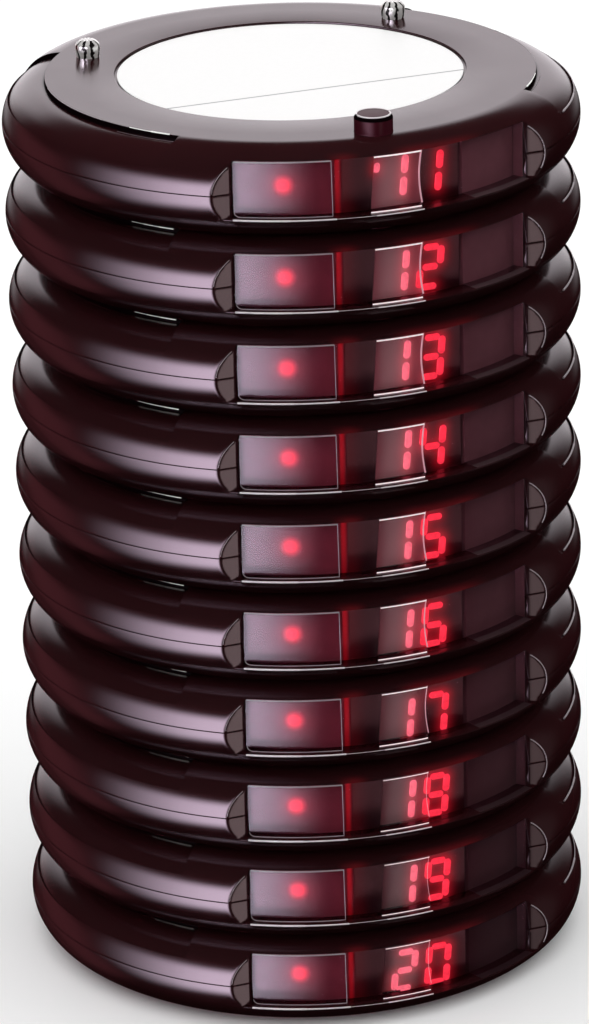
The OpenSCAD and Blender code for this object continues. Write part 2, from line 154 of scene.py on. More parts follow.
# ---------------------------------------------------------------- nodes of a material
class Graph:
    """Adds nodes to a material's or world's tree in short calls."""

    def __init__(self, owner):
        self.tree = owner.node_tree
        self.coordinates = None

    def add(self, kind, inputs=None, **settings):
        node = self.tree.nodes.new(kind)
        for key, value in settings.items():
            setattr(node, key, value)
        for key, value in (inputs or {}).items():
            self.feed(node.inputs[key], value)
        return node

    def feed(self, socket, value):
        if isinstance(value, bpy.types.NodeSocket):
            self.tree.links.new(value, socket)
        elif socket.type == "RGBA":
            socket.default_value = (*value[:3], 1)
        else:
            socket.default_value = value

    def place(self):
        """The object's own coordinates, in metres."""
        if self.coordinates is None:
            self.coordinates = self.add("ShaderNodeTexCoord").outputs["Object"]
        return self.coordinates

    def split(self, vector):
        """The three components of a vector."""
        return tuple(self.add("ShaderNodeSeparateXYZ", {0: vector}).outputs)

    def axes(self):
        return self.split(self.place())

    def height_of_pager(self):
        """Height of the object's own origin, in metres: the underside of its pager."""
        return self.split(self.add("ShaderNodeObjectInfo").outputs["Location"])[2]

    def math(self, operation, a, b=0.0, c=0.0, clamp=False):
        values = {0: a, 1: b, 2: c}
        return self.add("ShaderNodeMath", values, operation=operation, use_clamp=clamp).outputs[0]

    def times(self, product, *factors):
        for factor in factors:
            product = self.math("MULTIPLY", product, factor)
        return product

    def plus(self, a, b, clamp=False):
        return self.math("ADD", a, b, clamp=clamp)

    def minus(self, a, b):
        return self.math("SUBTRACT", a, b)

    def noise(self, size, detail=2.0, roughness=0.5):
        """Noise with features of about size metres."""
        inputs = {"Vector": self.place(), "Scale": 1 / size, "Detail": detail, "Roughness": roughness}
        return self.add("ShaderNodeTexNoise", inputs).outputs["Fac"]

    def ramp(self, value, low, high, to_low=0.0, to_high=1.0, smooth=True):
        """Carries the range from low to high over to another one, and stays at its ends outside."""
        node = self.add(
            "ShaderNodeMapRange",
            {"Value": value, "From Min": low, "From Max": high, "To Min": to_low, "To Max": to_high},
            interpolation_type="SMOOTHSTEP" if smooth else "LINEAR",
        )
        return node.outputs[0]

    def uneven(self, noise, low, high):
        """Carries the range in which a noise mostly lies over to another one."""
        return self.ramp(noise, 0.3, 0.7, low, high)

    def blend(self, factor, a, b):
        """A colour from a at 0 to b at 1."""
        node = self.add("ShaderNodeMix", data_type="RGBA")
        self.feed(node.inputs["Factor"], factor)
        self.feed(node.inputs["A"], a)
        self.feed(node.inputs["B"], b)
        return node.outputs["Result"]

    def bump(self, height, distance, strength=1.0):
        node = self.add("ShaderNodeBump", {"Height": height, "Distance": distance, "Strength": strength})
        return node.outputs["Normal"]


class Surface(Graph):
    """A new material with one Principled node."""

    def __init__(self, name):
        self.material = bpy.data.materials.new(name)
        self.material.use_nodes = True
        super().__init__(self.material)
        self.shader = next(n for n in self.tree.nodes if n.type == "BSDF_PRINCIPLED")

    def set(self, socket, value):
        """Sets or links a socket of the Principled node."""
        self.feed(self.shader.inputs[socket], value)

    def glow(self, colour, strength):
        self.set("Emission Color", colour)
        self.set("Emission Strength", strength)

    def mesh_value(self, name):
        """A value that the mesh carries at its vertices."""
        return self.add("ShaderNodeAttribute", attribute_name=name).outputs["Fac"]

    def grain(self, noise, share, roughness, depth):
        """Fine grain: it varies the roughness and raises the surface."""
        self.set("Roughness", self.plus(self.times(noise, share), roughness))
        self.set("Normal", self.bump(noise, depth, 0.4))

    def edge_on(self):
        """0 where the surface is seen head-on, 1 where it is seen edge-on."""
        return self.add("ShaderNodeLayerWeight", {"Blend": 0.5}).outputs["Facing"]

    def show_mixed(self, share, other, shader):
        """Makes the surface a mix: another shader at share 0, and the given one at 1."""
        mixed = self.add("ShaderNodeMixShader", {0: share, 1: other.outputs[0], 2: shader.outputs[0]})
        output = next(n for n in self.tree.nodes if n.type == "OUTPUT_MATERIAL")
        self.feed(output.inputs["Surface"], mixed.outputs[0])


# ---------------------------------------------------------------- materials
PANE_SHINE = 0.46
PANE_SHINE_MOST = 0.06
BAR_X = -8.75 * MM
LEFT_LAMP = polar(-23.5, 42.3 * MM, 8.37 * MM)
LEFT_SPAN = (-24 * MM, -9.5 * MM)
RIGHT_SPAN = (12 * MM, 24 * MM)


def case_plastic(name, dark, light, rough=0.135, gloss=0.5, shade_band=None):
    """Satin wine-brown moulded plastic: fine grain, faint clouds, the display's light inside it, and painted
    shade where the mesh carries it or in a band.
    """
    g = Surface(name)
    x, y, z = g.axes()
    # painted shade that the mesh carries: it makes the colour nearly black and takes the gloss away
    shaded = g.mesh_value("painted_shade")
    if shade_band:
        # painted shade: a dark band round the piece, between two heights
        low, high, soft = shade_band
        inside = g.times(g.ramp(z, low, low + soft), g.ramp(z, high - soft, high, 1, 0))
        shaded = g.math("MAXIMUM", shaded, inside)
    g.set("Base Color", g.blend(shaded, g.blend(g.noise(9 * MM, 3), dark, light), (0.003, 0.001, 0.0015)))
    grain = g.noise(0.35 * MM, 2)
    smears = g.noise(14 * MM, 4, 0.6)
    g.set("Roughness", g.plus(g.uneven(smears, rough, rough + 0.05), g.times(grain, 0.04)))
    g.set("IOR", 1.52)
    g.set("Specular Tint", (0.97, 0.85, 0.93))
    # the right side gets less light, the more so the lower the pager stands, and the underside too
    low_down = g.ramp(g.height_of_pager(), 0.0, TOP_BASE, 1, 0, smooth=False)
    kept = g.minus(1.0, g.times(low_down, g.ramp(x, 14 * MM, 25 * MM), 0.62))
    under = g.ramp(z, 0.5 * MM, 3.9 * MM, 0.3, 1)
    # upright faces lose most of their gloss edge-on, so that they do not flare in the key light
    normal = g.add("ShaderNodeNewGeometry").outputs["Normal"]
    upright = g.ramp(g.split(normal)[2], 0.6, 0.9, 1, 0)
    dulled = g.times(upright, g.ramp(g.edge_on(), 0.4, 0.7, 0, 0.97))
    g.set("Specular IOR Level", g.times(g.minus(1.0, shaded), kept, under, g.minus(1.0, dulled), gloss))
    g.set("Normal", g.bump(grain, 0.004 * MM, 0.4))
    # glow over the lit digits and the red bar, inside the translucent wall
    front = g.ramp(y, -BODY_R, -FLAT_R + 3 * MM, 1, 0)
    digits = g.times(g.ramp(x, -2 * MM, 3 * MM), g.ramp(x, 11 * MM, 17 * MM, 1, 0))
    bar = g.times(g.ramp(x, BAR_X - 3.2 * MM, BAR_X), g.ramp(x, BAR_X, BAR_X + 3.2 * MM, 1, 0))
    level = g.times(g.ramp(z, 12.2 * MM, WINDOW_TOP), g.ramp(z, WINDOW_TOP, 14.2 * MM, 1, 0))
    g.glow((1.0, 0.03, 0.05), g.times(g.plus(digits, bar, clamp=True), front, level, 0.07))
    return g.material


def metal(name, colour, roughness, grain_size=0.5 * MM, grain=0.04):
    """Plated or drawn metal with faint grain and uneven polish."""
    g = Surface(name)
    g.set("Metallic", 1.0)
    g.set("Base Color", g.blend(g.noise(3 * MM, 3), [c * 0.85 for c in colour], colour))
    g.grain(g.noise(grain_size, 3), grain, roughness, 0.004 * MM)
    return g.material


def streaky_chrome():
    """Chrome of the studs: bright plating with dark upright streaks, as a room shows in it."""
    g = Surface("contact_chrome")
    x, y, z = g.axes()
    centre = polar(STUD_A, STUD_PLACE_R)
    across = g.minus(g.math("ABSOLUTE", x), abs(centre.x))
    along = g.minus(y, centre.y)
    turn = g.math("ARCTAN2", along, across)
    wobble = g.noise(1.5 * MM, 2)
    waves = g.math("SINE", g.plus(g.times(turn, 9.0), g.times(wobble, 8.0)))
    share = g.ramp(waves, 0.1, 0.7, 1.0, 0.0)
    g.set("Base Color", g.blend(share, (0.012, 0.011, 0.011), (0.93, 0.92, 0.90)))
    g.set("Metallic", 0.45)
    g.set("Roughness", g.plus(g.times(wobble, 0.05), 0.08))
    return g.material


def moulded(name, dark, light, roughness=0.45):
    """Plain moulded plastic with a fine grain."""
    g = Surface(name)
    g.set("Base Color", g.blend(g.noise(4 * MM, 3), dark, light))
    g.grain(g.noise(0.6 * MM, 2), 0.1, roughness, 0.01 * MM)
    return g.material


def label_film():
    """White semi-gloss film with a thin grey divider line."""
    g = Surface("label_film")
    x, y, z = g.axes()
    fibre = g.noise(0.8 * MM, 4, 0.6)
    white = g.blend(fibre, (0.80, 0.80, 0.79), (0.86, 0.86, 0.855))
    off_line = g.math("ABSOLUTE", g.minus(y, DIVIDER_Y))
    line = g.ramp(off_line, 0.14 * MM, 0.28 * MM, 1, 0)
    g.set("Base Color", g.blend(line, white, (0.25, 0.25, 0.26)))
    g.set("Roughness", g.uneven(fibre, 0.34, 0.42))
    g.set("Normal", g.bump(g.noise(2.5 * MM, 3), 0.02 * MM, 0.25))
    return g.material


def window_film():
    """Polished tinted pane: mirror reflections by the angle of sight over a see-through tint."""
    g = Surface("window_film")
    haze = g.noise(6 * MM, 2)
    g.set("Base Color", g.blend(haze, (0.82, 0.81, 0.86), (0.90, 0.89, 0.94)))
    g.set("Metallic", 1.0)
    g.set("Roughness", g.uneven(haze, 0.10, 0.14))
    clear = g.add("ShaderNodeBsdfTransparent", {"Color": (0.88, 0.74, 0.78)})
    # mirror share from head-on to edge-on, the same on both faces of the pane
    mirror = g.plus(g.times(g.math("POWER", g.edge_on(), 5.0), 0.96), 0.04)
    g.show_mixed(g.math("MINIMUM", g.times(mirror, PANE_SHINE), PANE_SHINE_MOST), clear, g.shader)
    return g.material


def frosted_box(name, span, colours, lamp=None):
    """Frosted plastic of a light box, from one colour to another across it.

    With a lamp it shows the lamp's round glow; without one it is darkened with painted shade the lower the
    pager stands.
    """
    g = Surface(name)
    x, y, z = g.axes()
    base = g.blend(g.ramp(x, *span), *colours)
    if lamp is None:
        # painted shade: the box is darker the lower the pager stands
        low_down = g.ramp(g.height_of_pager(), 0.0, TOP_BASE, 0.92, 0, smooth=False)
        base = g.blend(low_down, base, (0.020, 0.006, 0.008))
    else:
        away = g.add("ShaderNodeVectorMath", {0: g.place(), 1: lamp}, operation="DISTANCE").outputs["Value"]
        halo = g.math("POWER", g.ramp(away, 0.3 * MM, 6.5 * MM, 1, 0, smooth=False), 3.5)
        core = g.ramp(away, 0.3 * MM, 2.15 * MM, 1, 0)
        g.set("Emission Color", g.blend(core, (1.0, 0.015, 0.06), (1.0, 0.025, 0.07)))
        g.set("Emission Strength", g.plus(g.times(core, 1.15), g.times(halo, 0.38)))
    clouds = g.noise(2.2 * MM, 3)
    g.set("Base Color", g.blend(g.ramp(clouds, 0.2, 0.8, 0, 0.15), base, (0.05, 0.02, 0.03)))
    g.set("Roughness", g.uneven(clouds, 0.5, 0.6))
    g.set("Specular IOR Level", 0.2)
    return g.material


def lit(name, colour, strength, base=(0.3, 0.02, 0.03)):
    """Lit plastic, a little uneven in brightness."""
    g = Surface(name)
    g.set("Base Color", base)
    g.set("Roughness", 0.35)
    g.glow(colour, g.uneven(g.noise(0.8 * MM, 2), strength * 0.88, strength * 1.12))
    return g.material


def light_bar_plastic():
    """Dim red light strip, brightest a little right of its left edge."""
    g = Surface("bar_light")
    x, y, z = g.axes()
    cover = g.times(g.ramp(x, BAR_X - 0.65 * MM, BAR_X), g.ramp(x, BAR_X, BAR_X + 0.8 * MM, 1, 0))
    g.set("Roughness", 0.4)
    g.set("Base Color", g.blend(g.noise(1.2 * MM, 2), (0.05, 0.008, 0.012), (0.08, 0.012, 0.018)))
    g.set("Emission Color", (1.0, 0.004, 0.02))
    fade = g.ramp(z, 2.5 * MM, 9 * MM, 0.55, 1)
    g.set("Emission Strength", g.times(cover, fade, 0.33))
    return g.material


def display_glass():
    """Dark red display filter that glows around the lit segments, by the mesh's own glow values."""
    g = Surface("display_glass")
    glow = g.mesh_value("glow")
    g.set("Base Color", g.blend(g.noise(3 * MM, 2), (0.024, 0.007, 0.010), (0.034, 0.010, 0.014)))
    g.set("Roughness", 0.3)
    g.set("Emission Color", (1.0, 0.02, 0.045))
    x, y, z = g.axes()
    # painted glow: the red bar's light on the display beside it
    beside = g.times(g.ramp(x, BAR_X, BAR_X + 4.5 * MM, 1, 0), 0.05)
    g.set("Emission Strength", g.plus(g.times(glow, 0.5), beside))
    return g.material


def display_film():
    """Thin frosted pinkish film over the display's left part."""
    g = Surface("display_film")
    clouds = g.noise(2.5 * MM, 3)
    # the mesh's haze value fades the film's pink to dark red: painted shade, darker the lower the pager
    # stands
    haze = g.mesh_value("haze")
    pink = g.blend(clouds, (0.38, 0.150, 0.168), (0.45, 0.185, 0.205))
    g.set("Base Color", g.blend(haze, (0.034, 0.010, 0.014), pink))
    g.set("Roughness", 0.5)
    glow = g.mesh_value("glow")
    g.glow((1.0, 0.08, 0.12), g.times(glow, 0.5))
    return g.material


def solder_mask():
    """Green board with darker copper tracks under the mask."""
    g = Surface("solder_mask")
    tracks = g.add("ShaderNodeTexVoronoi", {"Vector": g.place(), "Scale": 260.0}, distance="MANHATTAN")
    mask = g.ramp(tracks.outputs["Distance"], 0.35, 0.5)
    g.set("Base Color", g.blend(mask, (0.018, 0.12, 0.055), (0.03, 0.2, 0.09)))
    g.set("Roughness", 0.35)
    g.set("Normal", g.bump(mask, 0.03 * MM, 0.5))
    return g.material


LEFT_COLOURS = [(0.15, 0.075, 0.115), (0.27, 0.060, 0.090)]
RIGHT_COLOURS = [(0.235, 0.150, 0.160), (0.205, 0.125, 0.135)]
# the right box's colours at three tenths: a copy with painted shade, for the plate on the ledge
LEDGE_SHADED_COLOURS = [(0.0705, 0.045, 0.048), (0.0615, 0.0375, 0.0405)]
MATERIALS = {
    "case_top": case_plastic("case_top_plastic", (0.018, 0.0034, 0.0042), (0.025, 0.0052, 0.0066)),
    "case_base": case_plastic("case_base_plastic", (0.016, 0.0032, 0.004), (0.022, 0.0048, 0.006)),
    # the post has a band of painted shade under its rim
    "post": case_plastic("post_plastic", (0.036, 0.004, 0.008), (0.050, 0.006, 0.012), 0.26, gloss=0.075,
                         shade_band=(POST_TOP - 0.72 * MM, POST_TOP - 0.05 * MM, 0.1 * MM)),
    "window": window_film(),
    # glowing beads that paint glints on the side panels' inner edges
    "painted_glint": lit("painted_glint", (0.95, 1.0, 0.93), 0.34, base=(0.75, 0.75, 0.73)),
    # glowing beads that paint highlights on the display film's edges
    "film_glint": lit("film_glint", (1.0, 0.80, 0.83), 0.45, base=(0.8, 0.7, 0.72)),
    "label": label_film(),
    "contact_chrome": streaky_chrome(),
    "contact_plate": metal("contact_nickel", (0.66, 0.63, 0.56), 0.3),
    "circuit_board": solder_mask(),
    "display": display_glass(),
    "display_film": display_film(),
    "segment": lit("segment_light", (1.0, 0.045, 0.085), 1.25),
    "pale_segment": lit("pale_segment_light", (1.0, 0.19, 0.26), 1.15),
    "left_box": frosted_box("frosted_box_left", LEFT_SPAN, LEFT_COLOURS, LEFT_LAMP),
    "right_box": frosted_box("frosted_box_right", RIGHT_SPAN, RIGHT_COLOURS),
    "shaded_ledge_guide": frosted_box("shaded_ledge_guide", RIGHT_SPAN, LEDGE_SHADED_COLOURS),
    "red_bar": light_bar_plastic(),
    "lamp": lit("lamp_light", (1.0, 0.08, 0.14), 1.6),
    "battery": metal("battery_foil", (0.62, 0.64, 0.67), 0.32, 0.8 * MM, 0.1),
    "motor": metal("motor_steel", (0.60, 0.60, 0.62), 0.26),
    "buzzer": moulded("buzzer_black", (0.018, 0.018, 0.019), (0.030, 0.030, 0.031)),
    "screw": metal("screw_zinc", (0.52, 0.52, 0.54), 0.3),
    "weight": metal("weight_metal", (0.40, 0.40, 0.43), 0.36),
}
# light plastic of the beads that paint highlights along edges: darkest and lightest colour, and roughness
for painted_highlight, look in {
    "post_rim": ((0.62, 0.57, 0.59), (0.92, 0.87, 0.89), 0.35),
    "painted_highlight_edge": ((0.30, 0.26, 0.28), (0.42, 0.37, 0.39), 0.35),
    "painted_highlight_line": ((0.30, 0.25, 0.28), (0.52, 0.46, 0.49), 0.3),
    "window_edge": ((0.55, 0.50, 0.53), (0.95, 0.90, 0.92), 0.3),
    "dim_edge_highlight": ((0.10, 0.085, 0.095), (0.20, 0.17, 0.19), 0.35),
}.items():
    MATERIALS[painted_highlight] = moulded(painted_highlight, *look)

# ---------------------------------------------------------------- meshes
SHARP_ANGLE = 42.0
SECTOR_STEP = 1.5
BEAD_SIDES = 6


def spread(start, end, count):
    """Evenly spaced values from start to end, count + 1 of them."""
    return [start + (end - start) * i / count for i in range(count + 1)]


def finish_mesh(bm, name, sharp=SHARP_ANGLE):
    """Turns a bmesh into a smooth mesh with hard creases above an angle."""
    bmesh.ops.remove_doubles(bm, verts=bm.verts, dist=0.0005 * MM)
    thin = [f for f in bm.faces if f.calc_area() < 1e-14]
    bmesh.ops.delete(bm, geom=thin, context="FACES_ONLY")
    bmesh.ops.recalc_face_normals(bm, faces=bm.faces)
    for face in bm.faces:
        face.smooth = True
    for edge in bm.edges:
        edge.smooth = len(edge.link_faces) == 2 and math.degrees(edge.calc_face_angle(0)) < sharp
    mesh = bpy.data.meshes.new(name)
    bm.to_mesh(mesh)
    bm.free()
    return mesh


def skin(bm, loops, round_loop=False, round_all=True):
    """Faces between equally long loops of vertices, one after the other."""
    for a, b in zip(loops, loops[1:] + (loops[:1] if round_all else [])):
        count = len(a)
        for i in range(count if round_loop else count - 1):
            j = (i + 1) % count
            bm.faces.new((a[i], a[j], b[j], b[i]))


def loft(columns, name, closed=False, sharp=SHARP_ANGLE):
    """Mesh through closed loops of points, with both ends capped unless it closes on itself."""
    bm = bmesh.new()
    loops = [[bm.verts.new(p) for p in column] for column in columns]
    skin(bm, loops, True, closed)
    if not closed:
        bm.faces.new(loops[0])
        bm.faces.new(loops[-1][::-1])
    return finish_mesh(bm, name, sharp)


def rounded(corners, steps=3):
    """Points of an outline; a corner (r, z, size) with a size is cut back by it and rounded."""
    points = []
    count = len(corners)
    for i, (r, z, *size) in enumerate(corners):
        here = Vector((r, z))
        if not size:
            points.append(here)
            continue
        before = Vector(corners[i - 1][:2]) - here
        after = Vector(corners[(i + 1) % count][:2]) - here
        cut = min(size[0], before.length * 0.49, after.length * 0.49)
        a, b = here + before.normalized() * cut, here + after.normalized() * cut
        for k in range(steps + 1):
            t = k / steps
            points.append(a * (1 - t) ** 2 + here * 2 * t * (1 - t) + b * t * t)
    return points


def lathe(corners, name, steps=3, turns=48, centre=(0.0, 0.0)):
    """Turned solid from a closed outline of (r, z) corners that starts and ends on the axis."""
    outline = rounded(corners, steps)
    cx, cy = centre
    bm = bmesh.new()
    loops = []
    for i in range(turns):
        a = 2 * math.pi * i / turns
        loops.append([bm.verts.new((cx + r * math.cos(a), cy + r * math.sin(a), z)) for r, z in outline])
    skin(bm, loops)
    return finish_mesh(bm, name)


def join_meshes(meshes, name):
    """One mesh that holds copies of several."""
    bm = bmesh.new()
    for mesh in meshes:
        bm.from_mesh(mesh)
    joined = bpy.data.meshes.new(name)
    bm.to_mesh(joined)
    bm.free()
    return joined


# ---------------------------------------------------------------- case shells
BOTH_SIDES = (-1, 1)


def case_angles():
    """Angles of the columns round a shell, closer together where the window and panels begin and end."""
    runs = [
        (0, WINDOW_A - 0.4, 16), (WINDOW_A - 0.1, WINDOW_A + 0.1, 1), (WINDOW_A + 0.35, 39.2, 18),
        (40.2, PANEL_START - 0.5, 4), (PANEL_START - 0.05, PANEL_START + 0.45, 5),
        (PANEL_START + 0.8, PANEL_START + 2.0, 3), (PANEL_START + 3.6, PANEL_END - 3.6, 36),
        (PANEL_END - 2.0, PANEL_END - 0.8, 3), (PANEL_END - 0.45, PANEL_END + 0.05, 5),
        (PANEL_END + 0.5, 177.8, 20), (180.0, 180.0, 1),
    ]
    half = [angle for run in runs for angle in spread(*run)][:-1]
    return half + [-a for a in reversed(half[1:-1])]


def edge_reach(z):
    """Distance of the half-round edge from the axis at a height."""
    return FLAT_R + math.sqrt(max(EDGE_R**2 - (z - EDGE_R) ** 2, 0.0))


def notch_reach(angle):
    """Distance of the window's notch from the axis at an angle: the window's face, then the flat end."""
    a = abs(angle)
    return max(WINDOW_R, CAP_Y / cos(a)) if a < 60 else 2 * BODY_R


def shell_reach(angle, z):
    return smooth_min(edge_reach(z), notch_reach(angle), NOTCH_BLEND)


def panel_share(angle, r):
    """1 inside a sunk side panel, 0 outside it, with round corners in plan."""
    a = abs(angle)
    along = min(a - PANEL_START, PANEL_END - a) * math.radians(1) * r
    across = min(r - PANEL_IN_R, PANEL_OUT_R - r)
    inside = min(along, across)
    if along < PANEL_CORNER and across < PANEL_CORNER:
        inside = PANEL_CORNER - math.hypot(PANEL_CORNER - along, PANEL_CORNER - across)
    return smooth_step(inside / PANEL_SLOPE + 0.5)


def panel_drop(angle, r, z):
    """How far the panel's floor lies under the half-round edge."""
    share = panel_share(angle, r)
    if share <= 0:
        return 0.0
    off = r - FLAT_R - PANEL_PUSH
    floor = EDGE_R - PANEL_DEPTH + math.sqrt(max(EDGE_R**2 - off**2, 0.0))
    return share * max(z - floor, 0.0)


def section_angle(r):
    """Section angle of the half-round edge at a distance from the axis, 0 at the flat top."""
    return math.asin(min((r - FLAT_R) / EDGE_R, 1.0))


def rows_near(r, offsets):
    return [section_angle(r + offset * MM) for offset in offsets]


def upper_rows():
    """Section angles of the rows over the upper half of the edge, from the flat top outwards."""
    rows = rows_near(PANEL_IN_R, (-0.22, -0.11, -0.05, -0.02, 0.02, 0.05, 0.11, 0.25))
    rows += rows_near(WINDOW_R, (-0.3, -0.18, -0.09, 0.0, 0.09, 0.18, 0.3))
    rows += rows_near(PANEL_OUT_R, (-0.14, -0.05, -0.02, 0.02, 0.05, 0.14))
    rows += [math.radians(a) for a in spread(7, 38, 9) + [49, 52.5, 55.5] + spread(64, 85, 8)]
    return sorted(set(rows))


UPPER_ROWS = upper_rows()
INNER_ROWS = [math.radians(a) for a in (0, 25, 45, 60, 72)]


def upper_column(angle):
    """Closed outline of the upper shell at an angle, from the middle over the top and back inside."""
    bottom = WINDOW_TOP if abs(angle) < WINDOW_A else SEAM_Z + SEAM_GAP / 2
    outline = [(0.0, LABEL_SEAT_Z)]
    outline += [tuple(p) for p in rounded([
        (LABEL_R * 0.5, LABEL_SEAT_Z),
        (LABEL_SEAT_R - 0.02 * MM, LABEL_SEAT_Z, 0.05 * MM),
        (LABEL_SEAT_R, BODY_T, 0.14 * MM),
        (FLAT_R - 4 * MM, BODY_T),
    ])]
    outline += [(FLAT_R - 0.3 * MM, BODY_T)]
    for row in UPPER_ROWS:
        z = max(EDGE_R + EDGE_R * math.cos(row), bottom + EDGE_ROUND)
        r = shell_reach(angle, z)
        outline.append((r, z - panel_drop(angle, r, z)))
    reach = shell_reach(angle, bottom + EDGE_ROUND)
    outline += [(reach, bottom + EDGE_ROUND), (reach - EDGE_ROUND * 0.25, bottom + EDGE_ROUND * 0.3),
                (reach - EDGE_ROUND, bottom)]
    inner_r = min(reach, BODY_R) - WALL
    outline += [(inner_r, bottom)]
    for row in reversed(INNER_ROWS):
        z = max(EDGE_R + (EDGE_R - WALL) * math.cos(row), bottom)
        r = min(FLAT_R + (EDGE_R - WALL) * math.sin(row), inner_r)
        outline.append((r, z))
    outline += [(LABEL_R * 0.5, BODY_T - WALL), (0.0, BODY_T - WALL)]
    return [polar(angle, r, z) for r, z in outline]


def painted_shade_share(angle, r):
    """Share of painted shade: 1 on the upright inner wall and rear wall of a side panel and close to their
    feet, 0 elsewhere.
    """
    a = abs(angle)
    if not PANEL_START - 0.3 < a < PANEL_END + 0.3 or r > PANEL_OUT_R:
        return 0.0
    outside = smooth_step((r - PANEL_IN_R + 0.075 * MM) / (0.02 * MM))
    wall = smooth_step(1 - (r - PANEL_IN_R) / (0.5 * MM))
    end = smooth_step((a - PANEL_END + 1.7) / 0.6)
    return outside * max(wall, end)


def notch_shade(angle, z):
    """Share of shade at the right end of the window's notch, 1 at the window."""
    if not LEDGE_Z + 0.05 * MM < z < WINDOW_TOP:
        return 0.0
    return 0.4 * smooth_step(1.4 - abs(angle - WINDOW_A) / 0.6)


def open_shell(column, name):
    """Shell from open outlines that start and end on the axis."""
    bm = bmesh.new()
    # each vertex carries its share of painted shade, in the side panels' grooves and at the window's notch
    painted_shade = bm.verts.layers.float.new("painted_shade")
    loops = []
    for angle in case_angles():
        loops.append([bm.verts.new(p) for p in column(angle)])
        for vert in loops[-1]:
            inside = painted_shade_share(angle, vert.co.xy.length) if vert.co.z > SEAM_Z else 0.0
            vert[painted_shade] = max(inside, notch_shade(angle, vert.co.z))
    skin(bm, loops)
    return finish_mesh(bm, name)


def beads(runs, r, z, sides, steps):
    """Beads round the axis: for each side, one per run (start, end, radius in mm)."""
    found = []
    for side in sides:
        for start, end, radius in runs:
            path = [polar(side * a, r, z) for a in spread(start, end, steps)]
            found.append(tube(path, radius * MM))
    return found


def edge_reach_height(r):
    """Height of the upper half-round edge at a distance from the axis."""
    return EDGE_R + math.sqrt(EDGE_R**2 - (r - FLAT_R) ** 2)


FOOT_R = PANEL_IN_R + 0.62 * MM
FOOT_Z = edge_reach_height(FOOT_R - PANEL_PUSH) - PANEL_DEPTH
# beads that paint highlights and glints along edges: for each group its runs, distance from the axis,
# height, sides and steps
PAINTED_HIGHLIGHT_EDGES = {
    # painted highlights along the top of the panels' inner wall on both sides, and along their outer edge on
    # the right
    "panel_edges": [
        ([(70, 100, 0.03)], PANEL_IN_R - 0.03 * MM, BODY_T, BOTH_SIDES, 16),
        ([(49.5, 62, 0.18), (62, 90, 0.08), (90, 128, 0.12)],
         PANEL_OUT_R + 0.02 * MM, edge_reach_height(PANEL_OUT_R), (1,), 14),
    ],
    # painted highlights on the front ends of the inner edge
    "panel_ends": [([(50, 55, 0.11), (55, 61, 0.06)], PANEL_IN_R - 0.07 * MM, BODY_T, BOTH_SIDES, 6)],
    # the same under another pager: a painted glint on the highest line of the inner wall that is seen there
    "wall_glints": [
        ([(49.6, 53.5, 0.09), (53.5, 57.5, 0.055), (57.5, 61, 0.03)],
         PANEL_IN_R + 0.1 * MM, BODY_T - 0.38 * MM, BOTH_SIDES, 5),
    ],
    # dim painted highlight along the foot of the inner wall's front end
    "panel_feet": [([(48.4, 64, 0.045)], FOOT_R, FOOT_Z, BOTH_SIDES, 14)],
    # painted highlight along the outer edge of the ledge under the window, thinning out to the right
    "window_edge": [
        ([(-33.2, -22, 0.17), (-22, -13, 0.14), (-13, -5, 0.05), (-5, 5, 0.11)],
         edge_reach(LEDGE_Z) - 0.12 * MM, LEDGE_Z - 0.02 * MM, (1,), 8),
    ],
}


# one mesh of all the painted highlight beads of a group
def painted_highlight_edge(name):
    return join_meshes([bead for group in PAINTED_HIGHLIGHT_EDGES[name] for bead in beads(*group)], name)


# side, lowest and highest point, and radius of the painted highlight lines round the flat ends, in mm
CAP_LINES = [(-1, 8.2, 12.2, 0.05), (1, 5.0, 12.3, 0.09)]


def cap_edges():
    """Light outlines of the flat ends beside the window: painted highlights."""
    parts = []
    for side, low, high, width in CAP_LINES:
        path = []
        for z in spread(low * MM, high * MM, 24):
            r = edge_reach(z) - 0.07 * MM
            path.append(Vector((side * math.sqrt(r**2 - CAP_Y**2), -CAP_Y, z)))
        parts.append(tube(path, width * MM))
    return join_meshes(parts, "cap_edges")


def lower_column(angle):
    """Closed outline of the lower shell at an angle, from the middle over the inside to the underside."""
    top = LEDGE_Z if abs(angle) < WINDOW_A else SEAM_Z - SEAM_GAP / 2
    outline = [(0.0, WALL), (LABEL_R * 0.5, WALL)]
    reach = shell_reach(angle, top) if top > LEDGE_Z else WINDOW_R
    inner_r = reach - WALL
    for row in INNER_ROWS:
        z = min(EDGE_R - (EDGE_R - WALL) * math.cos(row), top)
        r = min(FLAT_R + (EDGE_R - WALL) * math.sin(row), inner_r)
        outline.append((r, z))
    outline += [(inner_r, top), (reach - EDGE_ROUND, top)]
    outline += [(reach - EDGE_ROUND * 0.25, top - EDGE_ROUND * 0.3)]
    for z in spread(max(top - EDGE_ROUND, LEDGE_Z), LEDGE_Z + 0.02 * MM, 8):
        outline.append((min(shell_reach(angle, z), reach) if top > LEDGE_Z else reach, z))
    ledge_r = edge_reach(LEDGE_Z)
    ledge_in = min(shell_reach(angle, LEDGE_Z + 0.02 * MM), ledge_r)
    width = ledge_r - ledge_in
    cut = min(0.16 * MM, width * 0.6)
    outline += [(ledge_in + width * 0.4, LEDGE_Z)]
    outline += [(ledge_r - cut, LEDGE_Z), (ledge_r - cut * 0.35, LEDGE_Z - cut * 0.1)]
    outline += [(edge_reach(z), z) for z in (LEDGE_Z - 0.12 * MM, LEDGE_Z - 0.25 * MM)]
    for row in [math.radians(d) for d in spread(124, 176, 14)]:
        outline.append((FLAT_R + EDGE_R * math.sin(row), EDGE_R + EDGE_R * math.cos(row)))
    outline += [(FLAT_R - 0.3 * MM, 0.0), (LABEL_R, 0.0), (0.0, 0.0)]
    return [polar(angle, r, z) for r, z in outline]


